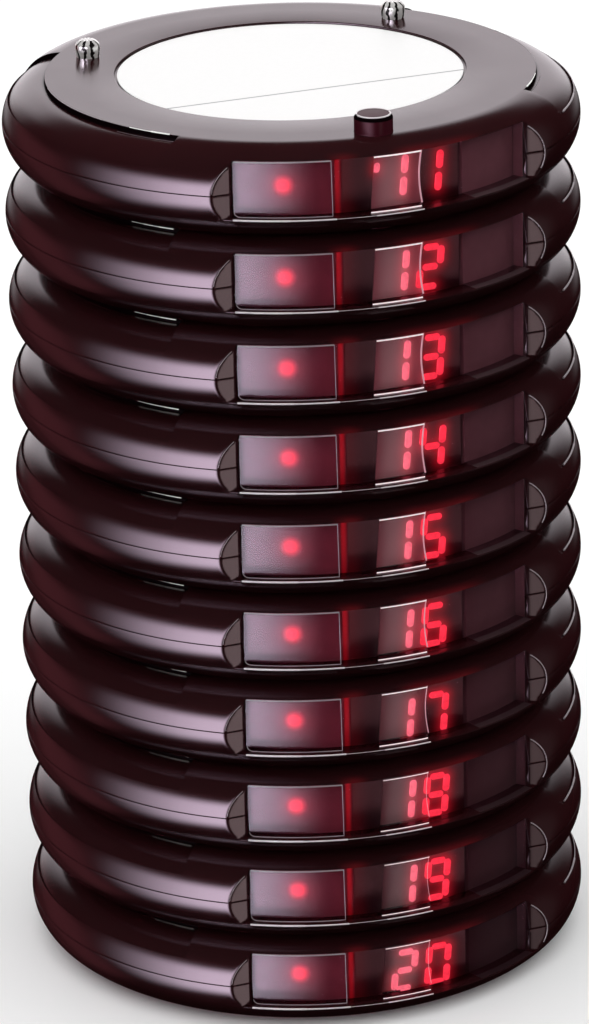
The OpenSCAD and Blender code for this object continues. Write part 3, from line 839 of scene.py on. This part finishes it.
def bore_cutter(place, r, depth=3 * MM, rim=0.15 * MM):
    """Tool for a hole in the underside with a chamfered rim."""
    corners = [(0, -1 * MM), (r + rim + 1 * MM, -1 * MM), (r, rim), (r, depth), (0, depth)]
    return lathe(corners, "cutter", turns=40, centre=(place.x, place.y))


def add_object(name, data):
    """A new object, linked to the scene."""
    added = bpy.data.objects.new(name, data)
    bpy.context.scene.collection.objects.link(added)
    return added


def subtract(mesh, cutters):
    """The mesh less the cutters, by an exact boolean."""
    tool = add_object("tool", join_meshes(cutters, "tool"))
    body = add_object("body", mesh)
    modifier = body.modifiers.new("cut", "BOOLEAN")
    modifier.operation = "DIFFERENCE"
    modifier.solver = "EXACT"
    modifier.object = tool
    evaluated = body.evaluated_get(bpy.context.evaluated_depsgraph_get())
    bm = bmesh.new()
    bm.from_mesh(bpy.data.meshes.new_from_object(evaluated))
    bpy.data.objects.remove(tool)
    bpy.data.objects.remove(body)
    return finish_mesh(bm, mesh.name + "_cut")


SCREW_PLACES = [polar(a, FLAT_R - 4 * MM) for a in (-155, -75, 75, 155)]
STUD_PLACES = [polar(s * STUD_A, STUD_PLACE_R) for s in BOTH_SIDES]
POST_PLACE = polar(POST_A, POST_PLACE_R)


def base_shell():
    """Lower shell with the holes in its underside: the sockets and the screws' counterbores."""
    cutters = [bore_cutter(POST_PLACE, SOCKET_R)]
    cutters += [bore_cutter(p, STUD_SOCKET_R) for p in STUD_PLACES]
    cutters += [bore_cutter(p, COUNTERBORE_R, rim=0.1 * MM) for p in SCREW_PLACES]
    return subtract(open_shell(lower_column, "base_shell"), cutters)


def locating_post():
    """Post with a rounded rim, a slightly dished top and a small fillet at its foot."""
    foot, top = BODY_T - 0.05 * MM, POST_TOP
    corners = [
        (0, foot), (POST_R + 0.05 * MM, foot), (POST_R, foot + 0.2 * MM, 0.05 * MM),
        (POST_R, top - 0.5 * MM, 0.2 * MM), (POST_R - 0.4 * MM, top, 0.12 * MM), (0, top - 0.01 * MM),
    ]
    return lathe(corners, "locating_post", steps=4, turns=64, centre=POST_PLACE.xy)


def post_rim():
    """Light bead round the rim of the post: a painted highlight."""
    r, z = POST_R - 0.42 * MM, POST_TOP - 0.05 * MM
    centre = Vector((POST_PLACE.x, POST_PLACE.y, z))
    ring = [centre + Vector((r * cos(7.5 * i), r * sin(7.5 * i), 0)) for i in range(48)]
    return tube(ring, 0.15 * MM, "post_rim", closed=True)


def post_socket():
    """Cup in the underside that takes the post of the pager below."""
    inner, outer = SOCKET_R, SOCKET_R + 0.2 * MM
    low, roof, top = WALL - 0.1 * MM, POST_H - 0.05 * MM, POST_H + 0.1 * MM
    corners = [(0, roof), (inner, roof), (inner, low), (outer, low), (outer, top, 0.1 * MM), (0, top)]
    return lathe(corners, "post_socket", turns=40, centre=POST_PLACE.xy)


def contact_studs():
    """Two turned studs: shank, a body a little narrower at its foot, and conical tip."""
    # the tips stay just clear of the contact plates above them
    base, top = BODY_T, BODY_T + STUD_H - 0.02 * MM
    shoulder = top - STUD_TIP_H
    corners = [
        (0, 7.3 * MM), (1.2 * MM, 7.3 * MM), (1.2 * MM, base), (STUD_R - 0.15 * MM, base),
        (STUD_R - 0.08 * MM, base + 0.5 * MM, 0.1 * MM), (STUD_R, base + 1.2 * MM, 0.3 * MM),
        (STUD_R, shoulder, 0.35 * MM), (STUD_TIP_R, top, 0.3 * MM), (0, top),
    ]
    return join_meshes([lathe(corners, "stud", 5, 64, p.xy) for p in STUD_PLACES], "contact_studs")


def label_disc():
    low, high = LABEL_SEAT_Z, LABEL_SEAT_Z + LABEL_T
    corners = [
        (0, low), (LABEL_R, low, 0.04 * MM), (LABEL_R, high, 0.06 * MM), (LABEL_R - 1 * MM, high), (0, high),
    ]
    return lathe(corners, "label_disc", turns=120)


# ---------------------------------------------------------------- window, display and lights
PANE_TOP = WINDOW_TOP - 0.08 * MM
BEHIND_R = 42.3 * MM
BOX_LOW, BOX_HIGH = 2.2 * MM, 12.6 * MM
BOX_INNER_R = 38.3 * MM
BAR_INNER_R = BEHIND_R - 0.6 * MM
# painted highlight lines on the window's face: the frame of them round the left light box leans a little at
# its right side
LINE_R = WINDOW_R - 0.02 * MM
FRAME_RIGHT, FRAME_LEAN = -13.5, 0.2
FRAME_CORNER, FRAME_CORNER_A = 1.0 * MM, 1.27
# where the light boxes and the bar between them start and end
LEFT_BOX = (-36, -12.75)
LIGHT_BAR = (-12.65, -10.85)
RIGHT_BOX = (17.15, 42)
# the pane stops short of the window's ends, and a thin liner fills the gap at the right one
PANE_GAP_LEFT, PANE_GAP_RIGHT = 0.25, 0.36
LINER_GAPS = (0.34, 0.12)
LEDGE_GAP = 0.3


def wedge(name, start, end, radii, heights, rounding=()):
    """Part of a ring between two angles, two distances from the axis and two heights.

    The rounding holds the sizes of its lower and upper outer edge.
    """
    (inner, outer), (low, high) = radii, heights
    lower, upper = [[size] for size in rounding] or ([], [])
    outline = rounded([(inner, low), (outer, low, *lower), (outer, high, *upper), (inner, high)])
    count = max(2, int(abs(end - start) / SECTOR_STEP))
    return loft([[polar(angle, r, z) for r, z in outline] for angle in spread(start, end, count)], name)


def window_pane():
    heights = (LEDGE_Z + 0.03 * MM, PANE_TOP)
    start, end = -WINDOW_A + PANE_GAP_LEFT, WINDOW_A - PANE_GAP_RIGHT
    return wedge("window_pane", start, end, (FLANGE_R, WINDOW_R), heights, (0.3 * MM, 0.25 * MM))


def right_liner():
    """Thin light guide that closes the window's right end."""
    start, end = [WINDOW_A - gap for gap in LINER_GAPS]
    heights = (LEDGE_Z + 0.08 * MM, PANE_TOP - 0.05 * MM)
    return wedge("right_liner", start, end, (FLANGE_R, WINDOW_R - 0.08 * MM), heights)


def right_ledge():
    """Thin light guide on the ledge under the window's right part."""
    radii = (FLANGE_R - 0.3 * MM, edge_reach(LEDGE_Z) - 0.25 * MM)
    heights = (LEDGE_Z + 0.01 * MM, LEDGE_Z + 0.025 * MM)
    return wedge("right_ledge", RIGHT_BOX[0], WINDOW_A - LEDGE_GAP, radii, heights)


def light_box(span, r):
    """Light box behind the window, out to a distance from the axis."""
    return wedge("light_box", *span, (BOX_INNER_R, r), (BOX_LOW, BOX_HIGH), (0.2 * MM, 0.2 * MM))


def light_bar():
    return wedge("light_bar", *LIGHT_BAR, (BAR_INNER_R, BEHIND_R), (BOX_LOW, BOX_HIGH))


def frame_lines():
    """Thin light beads round the left light box on the window's face, painted highlights of its edges, its
    lower left corner rounded.
    """
    low, high = LEDGE_Z + 0.08 * MM, PANE_TOP - 0.05 * MM
    left, right = -WINDOW_A + 0.35, FRAME_RIGHT
    path = [polar(right - FRAME_LEAN * t, LINE_R, low + (high - low) * t) for t in spread(1, 0, 8)]
    path += [polar(a, LINE_R, low) for a in spread(right, left + FRAME_CORNER_A, 14)[1:]]
    for turn in spread(75, 15, 4):
        angle = left + FRAME_CORNER_A * (1 - cos(turn))
        path.append(polar(angle, LINE_R, low + FRAME_CORNER * (1 - sin(turn))))
    above = [polar(a, LINE_R, high) for a in spread(right - FRAME_LEAN, left + 0.1, 14)]
    return join_meshes([tube(path, 0.06 * MM), tube(above, 0.12 * MM)], "frame_lines")


def tube(path, radius, name="bead", closed=False):
    """Round bead along points."""
    columns = []
    count = len(path)
    for i, p in enumerate(path):
        before = path[i - 1] if i or closed else p
        after = path[(i + 1) % count] if i < count - 1 or closed else p
        along = (after - before).normalized()
        out = Vector((p.x, p.y, 0)).normalized()
        side = along.cross(out).normalized()
        out = side.cross(along).normalized()
        ring = []
        for k in range(BEAD_SIDES):
            t = 2 * math.pi * k / BEAD_SIDES
            ring.append(p + (out * math.cos(t) + side * math.sin(t)) * radius)
        columns.append(ring)
    return loft(columns, name, closed, sharp=80)


# seven-segment digits: each segment's middle, in half digit widths and heights, and whether it stands
SEGMENTS = {
    "a": (0, 1, False), "b": (1, 0.555, True), "c": (1, -0.555, True), "d": (0, -1, False),
    "e": (-1, -0.555, True), "f": (-1, 0.555, True), "g": (0, 0, False),
}
LIT = {
    0: "abcdef", 1: "bc", 2: "abged", 3: "abgcd", 4: "fgbc", 5: "afgcd", 6: "afgedc", 7: "abc",
    8: "abcdefg", 9: "abcdfg",
}
DIGIT_W, DIGIT_H = 3.42 * MM, 6.55 * MM
DIGIT_SLANT = math.tan(math.radians(4.8))
# height of the digits' middle in each pager, from the top one down: the displays do not sit quite alike
DIGIT_Z = dict(zip(NUMBERS, [z * MM for z in (8.1, 7.45, 7.47, 7.45, 7.1, 6.8, 6.3, 6.95, 6.8, 6.4)]))
DIGIT_X = {"tens": 1.13 * MM, "units": 7.12 * MM}
DISPLAY_Y = -40.75 * MM
DISPLAY_X = (-8.2 * MM, 12.25 * MM)
DISPLAY_Z = (2.3 * MM, 12.4 * MM)
# half length and half width of the segments that stand, then of those that lie
PAD = {True: (1.52 * MM, 0.62 * MM), False: (1.32 * MM, 0.57 * MM)}
PAD_TURN = 10
# a small lit mark left of the top pager's tens
EXTRA_LIGHT = [(-1.85 * MM, 9.55 * MM), (-1.75 * MM, 10.2 * MM)]
EXTRA_WIDTH = 0.5 * MM
DISPLAY_DEPTH = 4.4 * MM

FILM_X = (-2.5 * MM, 5.75 * MM)
FILM_Z = (3.2 * MM, 12.3 * MM)
FILM_LEAN = 0.35 * MM
FILM_BOW = 0.5 * MM
FILM_Y = DISPLAY_Y - 0.2 * MM
# where the bright lines at the film's top and bottom start and end
FILM_ABOVE, FILM_BELOW = (-4.9, 5.3), (-5.6, 5.3)
# how strongly the film shows in each pager, lower down fading to dark red as painted shade, and how thick
# its bright right edge and its other painted highlight lines are, from the top one down
FILM_LIT_SHARE = dict(zip(NUMBERS, (1.0, 1.0, 0.95, 0.9, 0.85, 0.7, 0.5, 0.34, 0.22, 0.06)))
FILM_LINE = dict(zip(NUMBERS, (1.0, 1.0, 1.0, 0.95, 0.85, 0.75, 0.6, 0.35, 0.3, 0.3)))


def lit_segments(number, places=("tens", "units")):
    """Ends of the straight core of each lit segment, in the display's plane, and its half width."""
    found = []
    digits = {"tens": number // 10, "units": number % 10}
    for place in places:
        for key in LIT[digits[place]]:
            sx, sz, stands = SEGMENTS[key]
            half, width = PAD[stands]
            cx, cz = sx * DIGIT_W / 2, sz * DIGIT_H / 2
            ends = []
            for s in (-1, 1):
                ex, ez = (0, s * (half - width)) if stands else (s * (half - width), 0)
                ends.append((DIGIT_X[place] + cx + ex + (cz + ez) * DIGIT_SLANT, DIGIT_Z[number] + cz + ez))
            found.append((ends, width))
    if number == NUMBERS[0] and "tens" in places:
        found.append((EXTRA_LIGHT, EXTRA_WIDTH))
    return found


def digit_mesh(number, place):
    """Lit segments as flat pads with round ends, a little proud of the display."""
    parts = []
    for ((x0, z0), (x1, z1)), width in lit_segments(number, (place,)):
        along = Vector((x1 - x0, 0, z1 - z0)).normalized()
        side = Vector((along.z, 0, -along.x))
        bm = bmesh.new()
        rings = []
        for depth, inset in ((0, 0), (-0.12 * MM, 0.02 * MM), (-0.18 * MM, 0.12 * MM)):
            ring = []
            for x, z, start in ((x1, z1, 0), (x0, z0, math.pi)):
                for t in spread(start, start + math.pi, PAD_TURN - 1):
                    point = Vector((x, 0, z)) + (side * math.cos(t) + along * math.sin(t)) * (width - inset)
                    ring.append(bm.verts.new((point.x, FILM_Y + 0.02 * MM + depth, point.z)))
            rings.append(ring)
        skin(bm, rings, True, False)
        bm.faces.new(rings[-1])
        bm.faces.new(rings[0][::-1])
        parts.append(finish_mesh(bm, "segment", 60))
    return join_meshes(parts, f"{place}_{number}")


def glow_at(x, z, segments):
    """Brightness of the haze round the lit segments at a point of the display's plane."""
    reach = [max(distance_to_line(x, z, ends) - width, 0) for ends, width in segments]
    return min(sum(math.exp(-((d / (0.8 * MM)) ** 1.3)) for d in reach), 1.6) * 0.5


def distance_to_line(x, z, ends):
    (x0, z0), (x1, z1) = ends
    dx, dz = x1 - x0, z1 - z0
    t = min(max(((x - x0) * dx + (z - z0) * dz) / (dx * dx + dz * dz), 0), 1)
    return math.hypot(x - x0 - t * dx, z - z0 - t * dz)


def glow_grid(bm, number, y, columns, rows, point):
    """Upright grid of vertices that carry their glow; point gives (x, z) at a share across and up."""
    glow = bm.verts.layers.float["glow"]
    segments = lit_segments(number)
    grid = []
    for s in spread(0, 1, columns):
        line = []
        for t in spread(0, 1, rows):
            x, z = point(s, t)
            line.append(bm.verts.new((x, y, z)))
            line[-1][glow] = glow_at(x, z, segments)
        grid.append(line)
    skin(bm, grid, False, False)
    return grid


def display_point(s, t):
    (left, right), (low, high) = DISPLAY_X, DISPLAY_Z
    return left + (right - left) * s, low + (high - low) * t


def display_face(number):
    """Front of the display module as a fine grid that carries each point's glow."""
    bm = bmesh.new()
    bm.verts.layers.float.new("glow")
    grid = glow_grid(bm, number, DISPLAY_Y + 0.02 * MM, 62, 30, display_point)
    edges = [[line[0] for line in grid], grid[-1], [line[-1] for line in reversed(grid)], grid[0][::-1]]
    deep = [bm.verts.new(edge[0].co + Vector((0, DISPLAY_DEPTH, 0))) for edge in edges]
    for i, edge in enumerate(edges):
        bm.faces.new(edge[::-1] + [deep[i], deep[(i + 1) % 4]])
    bm.faces.new(deep[::-1])
    return finish_mesh(bm, f"display_{number}", 30)


def film_point(s, t):
    """Point of the film at a share across and up; its left end leans, and its right end bows inwards."""
    left = FILM_X[0] + FILM_LEAN * (2 * t - 1)
    right = FILM_X[1] - FILM_BOW * math.sin(math.pi * t)
    return left + (right - left) * s, FILM_Z[0] + (FILM_Z[1] - FILM_Z[0]) * t


def rim_of(grid):
    """The outer vertices of a grid, once round."""
    upper, lower = [line[-1] for line in reversed(grid)], [line[0] for line in grid]
    return lower + grid[-1][1:-1] + upper + grid[0][-2:0:-1]


def display_film_mesh(number):
    """Film over the display's left part, with each point's glow."""
    bm = bmesh.new()
    bm.verts.layers.float.new("glow")
    haze = bm.verts.layers.float.new("haze")
    front, back = [glow_grid(bm, number, y, 30, 30, film_point) for y in (FILM_Y, DISPLAY_Y - 0.01 * MM)]
    # haze: the film's share of pink, lower for lower pagers as painted shade
    for vert in bm.verts:
        vert[haze] = FILM_LIT_SHARE[number]
    skin(bm, [rim_of(front), rim_of(back)], True, False)
    return finish_mesh(bm, f"display_film_{number}", 50)


def film_edges(number):
    """Glowing beads that paint highlights on the edges of that film: along its top, its bottom and its bowed
    right end.
    """
    above = [polar(a, LINE_R, PANE_TOP - 0.04 * MM) for a in spread(*FILM_ABOVE, 8)]
    below = [polar(a, LINE_R, LEDGE_Z + 0.1 * MM) for a in spread(*FILM_BELOW, 8)]
    parts = [tube(path, (0.05 + 0.08 * FILM_LINE[number]) * MM) for path in (above, below)]
    right = [film_point(1, t) for t in spread(0, 1, 14)]
    parts.append(tube([Vector((x, FILM_Y - 0.34 * MM, z)) for x, z in right], 0.14 * MM * FILM_LINE[number]))
    return join_meshes(parts, f"film_edges_{number}")


# ---------------------------------------------------------------- pieces
def put(mesh, name, number, material, replaces=()):
    """Adds a piece to one pager: its place is the pager's base, and it rides on the pager's body."""
    piece = add_object(name, mesh)
    piece.location = (0, 0, BASE[number])
    if not mesh.materials:
        mesh.materials.append(MATERIALS[material])
    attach(piece, f"pager_{number}")
    if replaces:
        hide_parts(*replaces)


def dress(name, material):
    """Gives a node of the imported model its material."""
    materials = frame["nodes"][name].data.materials
    materials.clear()
    materials.append(MATERIALS[material])


def carried_mesh(kind):
    """Copy of one of the top pager's inner nodes, moved down to a pager's own frame."""
    mesh = frame["nodes"][f"pager_{NUMBERS[0]}_{kind}"].data.copy()
    mesh.transform(Matrix.Translation((0, 0, -TOP_BASE)))
    mesh.materials.clear()
    return mesh


CARRIED = {
    "contact_plates": "contact_plate", "circuit_board": "circuit_board", "indicator_lamps": "lamp",
    "battery_cell": "battery", "vibration_motor": "motor", "buzzer": "buzzer", "case_screws": "screw",
}


def build_pagers():
    """Every pager: the same shells, window and fittings, and its own number."""
    first = NUMBERS[0]
    upper = open_shell(upper_column, "top_shell")
    lower = base_shell()
    # mesh, material, slot and, where there is one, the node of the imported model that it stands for
    shared = {
        "locating_post": (locating_post(), "post", "case_top"),
        "window_pane": (window_pane(), "window", "window", "window_lens"),
        "label": (label_disc(), "label", "label", "label_disc"),
        "post_socket": (post_socket(), "case_base", "case_base"),
        "studs": (contact_studs(), "contact_chrome", "contact_chrome", "contact_studs"),
        "left_light_box": (light_box(LEFT_BOX, BEHIND_R), "left_box", "light_box", "light_boxes"),
        "right_light_box": (light_box(RIGHT_BOX, FLANGE_R - 0.1 * MM), "right_box", "light_box"),
        "window_frame": (frame_lines(), "painted_highlight_line", "window"),
        "window_edge": (painted_highlight_edge("window_edge"), "window_edge", "window"),
        "light_bar": (light_bar(), "red_bar", "lamp"),
        "post_rim": (post_rim(), "post_rim", "case_top"),
        "panel_edges": (painted_highlight_edge("panel_edges"), "painted_highlight_edge", "case_top"),
        "panel_ends": (painted_highlight_edge("panel_ends"), "painted_glint", "case_top"),
        "right_ledge": (right_ledge(), "shaded_ledge_guide", "light_box"),
        "right_liner": (right_liner(), "right_box", "light_box"),
        "cap_edges": (cap_edges(), "painted_highlight_line", "case_top"),
    }
    # under another pager the foot line is out of sight, and a glint on the wall takes its place
    foot_line, glint = (painted_highlight_edge("panel_feet"), "dim_edge_highlight"), (painted_highlight_edge("wall_glints"), "painted_glint")
    carried = {kind: carried_mesh(kind) for kind in CARRIED}
    for n in NUMBERS:
        top = n == first
        put(upper, f"pager_{n}_top_shell", n, "case_top", [f"pager_{n}_upper_shell"])
        put(lower, f"pager_{n}_base_shell", n, "case_base", [f"pager_{n}_lower_shell"])
        line, material = foot_line if top else glint
        put(line, f"pager_{n}_panel_feet", n, material)
        for name, (mesh, material, slot, *nodes) in shared.items():
            hidden = [f"pager_{n}_{node}" for node in nodes if top or node == "window_lens"]
            put(mesh, f"pager_{n}_{name}", n, material, hidden)
        put(display_face(n), f"pager_{n}_display", n, "display",
            [f"pager_{n}_digit_display"] if top else [f"pager_{n}_works"])
        put(display_film_mesh(n), f"pager_{n}_display_film", n, "display_film")
        put(film_edges(n), f"pager_{n}_film_edges", n, "film_glint")
        put(digit_mesh(n, "tens"), f"pager_{n}_tens", n, "pale_segment")
        put(digit_mesh(n, "units"), f"pager_{n}_units", n, "segment")
        for kind, material in CARRIED.items():
            if top:
                dress(f"pager_{n}_{kind}", material)
            else:
                put(carried[kind], f"pager_{n}_{kind}", n, material)
        dress(f"pager_{n}_motor_weight", "weight")


# ---------------------------------------------------------------- camera, floor and light
TOP_Z = TOP_BASE + BODY_T
CAMERA_DISTANCE = 0.908
CAMERA_ELEVATION = 20.87
CAMERA_ROLL = 1.2
CAMERA_LENS = 188.97
TARGET = Vector((0, 0, TOP_Z - 77.594 * MM)) + polar(CAMERA_A + 90, -0.816 * MM)


def make_camera():
    data = bpy.data.cameras.new("camera")
    camera = add_object("camera", data)
    data.lens = CAMERA_LENS
    data.sensor_width = 36
    data.clip_end = 10
    back = polar(CAMERA_A, cos(CAMERA_ELEVATION), sin(CAMERA_ELEVATION))
    camera.location = TARGET + back * CAMERA_DISTANCE
    look = (-back).to_track_quat("-Z", "Y").to_matrix().to_4x4()
    roll = Matrix.Rotation(math.radians(-CAMERA_ROLL), 4, "Z")
    camera.matrix_world = Matrix.Translation(camera.location) @ look @ roll
    bpy.context.scene.camera = camera


def make_floor():
    """White floor that reflections do not see."""
    bm = bmesh.new()
    bmesh.ops.create_circle(bm, cap_ends=True, segments=96, radius=4.0)
    mesh = finish_mesh(bm, "floor")
    floor = add_object("floor", mesh)
    floor.location = (0, 0, cad_low.z - 0.02 * MM)
    g = Surface("floor_white")
    path = g.add("ShaderNodeLightPath")
    g.set("Base Color", g.blend(path.outputs["Is Camera Ray"], (0.08, 0.08, 0.08), (0.92, 0.92, 0.92)))
    g.set("Roughness", 0.9)
    g.set("Specular IOR Level", 0.0)
    g.show_mixed(path.outputs["Is Glossy Ray"], g.shader, g.add("ShaderNodeBsdfTransparent"))
    mesh.materials.append(g.material)


def make_world():
    """White for the camera, and even white for matte light.

    Reflections see a white backdrop behind the stack, a tall soft key light at the left and a dim room.
    """
    world = bpy.data.worlds.new("studio")
    bpy.context.scene.world = world
    world.use_nodes = True
    g = Graph(world)
    g.tree.nodes.clear()
    x, y, z = g.split(g.add("ShaderNodeTexCoord").outputs["Generated"])
    # azimuth from the front, positive to +X, in degrees, and elevation in degrees
    azimuth = g.times(g.math("ARCTAN2", x, g.times(y, -1.0)), math.degrees(1))
    elevation = g.times(g.math("ARCSINE", z), math.degrees(1))

    def lobe(centre, half_width, soft_width, low, high, soft_height):
        """Soft-edged patch of sky round an azimuth, between two elevations."""
        off = g.minus(azimuth, centre)
        off = g.math("ABSOLUTE", g.math("WRAP", off, 180.0, -180.0))
        side = g.ramp(off, half_width, half_width + soft_width, 1, 0)
        upper = g.ramp(elevation, high, high + soft_height, 1, 0)
        lower = g.ramp(elevation, low - soft_height, low)
        return g.times(side, upper, lower)

    def tinted(patch, strength, colour):
        scaled = {0: colour, "Scale": g.times(patch, strength)}
        return g.add("ShaderNodeVectorMath", scaled, operation="SCALE").outputs[0]

    def both(a, b):
        return g.add("ShaderNodeVectorMath", {0: a, 1: b}, operation="ADD").outputs[0]

    backdrop = tinted(lobe(CAMERA_A + 182, 19, 22, -6, 24, 9), 1.42, (1.0, 0.95, 0.99))
    fall = g.math("POWER", g.ramp(azimuth, -122, -52), 1.45)
    key_side = g.times(g.ramp(azimuth, -12, -50), fall)
    key_height = g.times(g.ramp(elevation, 26, 6), g.ramp(elevation, -52, -30))
    key = tinted(g.times(key_side, key_height), 13.5, (0.95, 0.86, 1.0))
    table = tinted(lobe(21.4, 4, 5, -32, -10, 8), 2.6, (1.0, 0.84, 0.80))
    right = tinted(lobe(78, 14, 12, -40, 20, 12), 0.15, (1.0, 0.92, 0.92))
    red = tinted(lobe(-146, 14, 22, -40, 0, 14), 0.34, (1.0, 0.26, 0.32))
    total = both(both(backdrop, key), both(both(table, right), both(red, (0.025, 0.009, 0.010))))
    path = g.add("ShaderNodeLightPath")
    sky = g.blend(g.ramp(elevation, -5, 65), (0.45, 0.45, 0.45), (1.5, 1.5, 1.5))
    matte = g.blend(path.outputs["Is Diffuse Ray"], total, sky)
    colour = g.blend(path.outputs["Is Camera Ray"], matte, (1, 1, 1))
    background = g.add("ShaderNodeBackground", {"Color": colour, "Strength": 1.0})
    output = g.add("ShaderNodeOutputWorld")
    g.feed(output.inputs["Surface"], background.outputs[0])
    world.cycles.sampling_method = "NONE"


make_camera()
build_pagers()
make_floor()
make_world()
bpy.context.scene.view_settings.view_transform = "Standard"
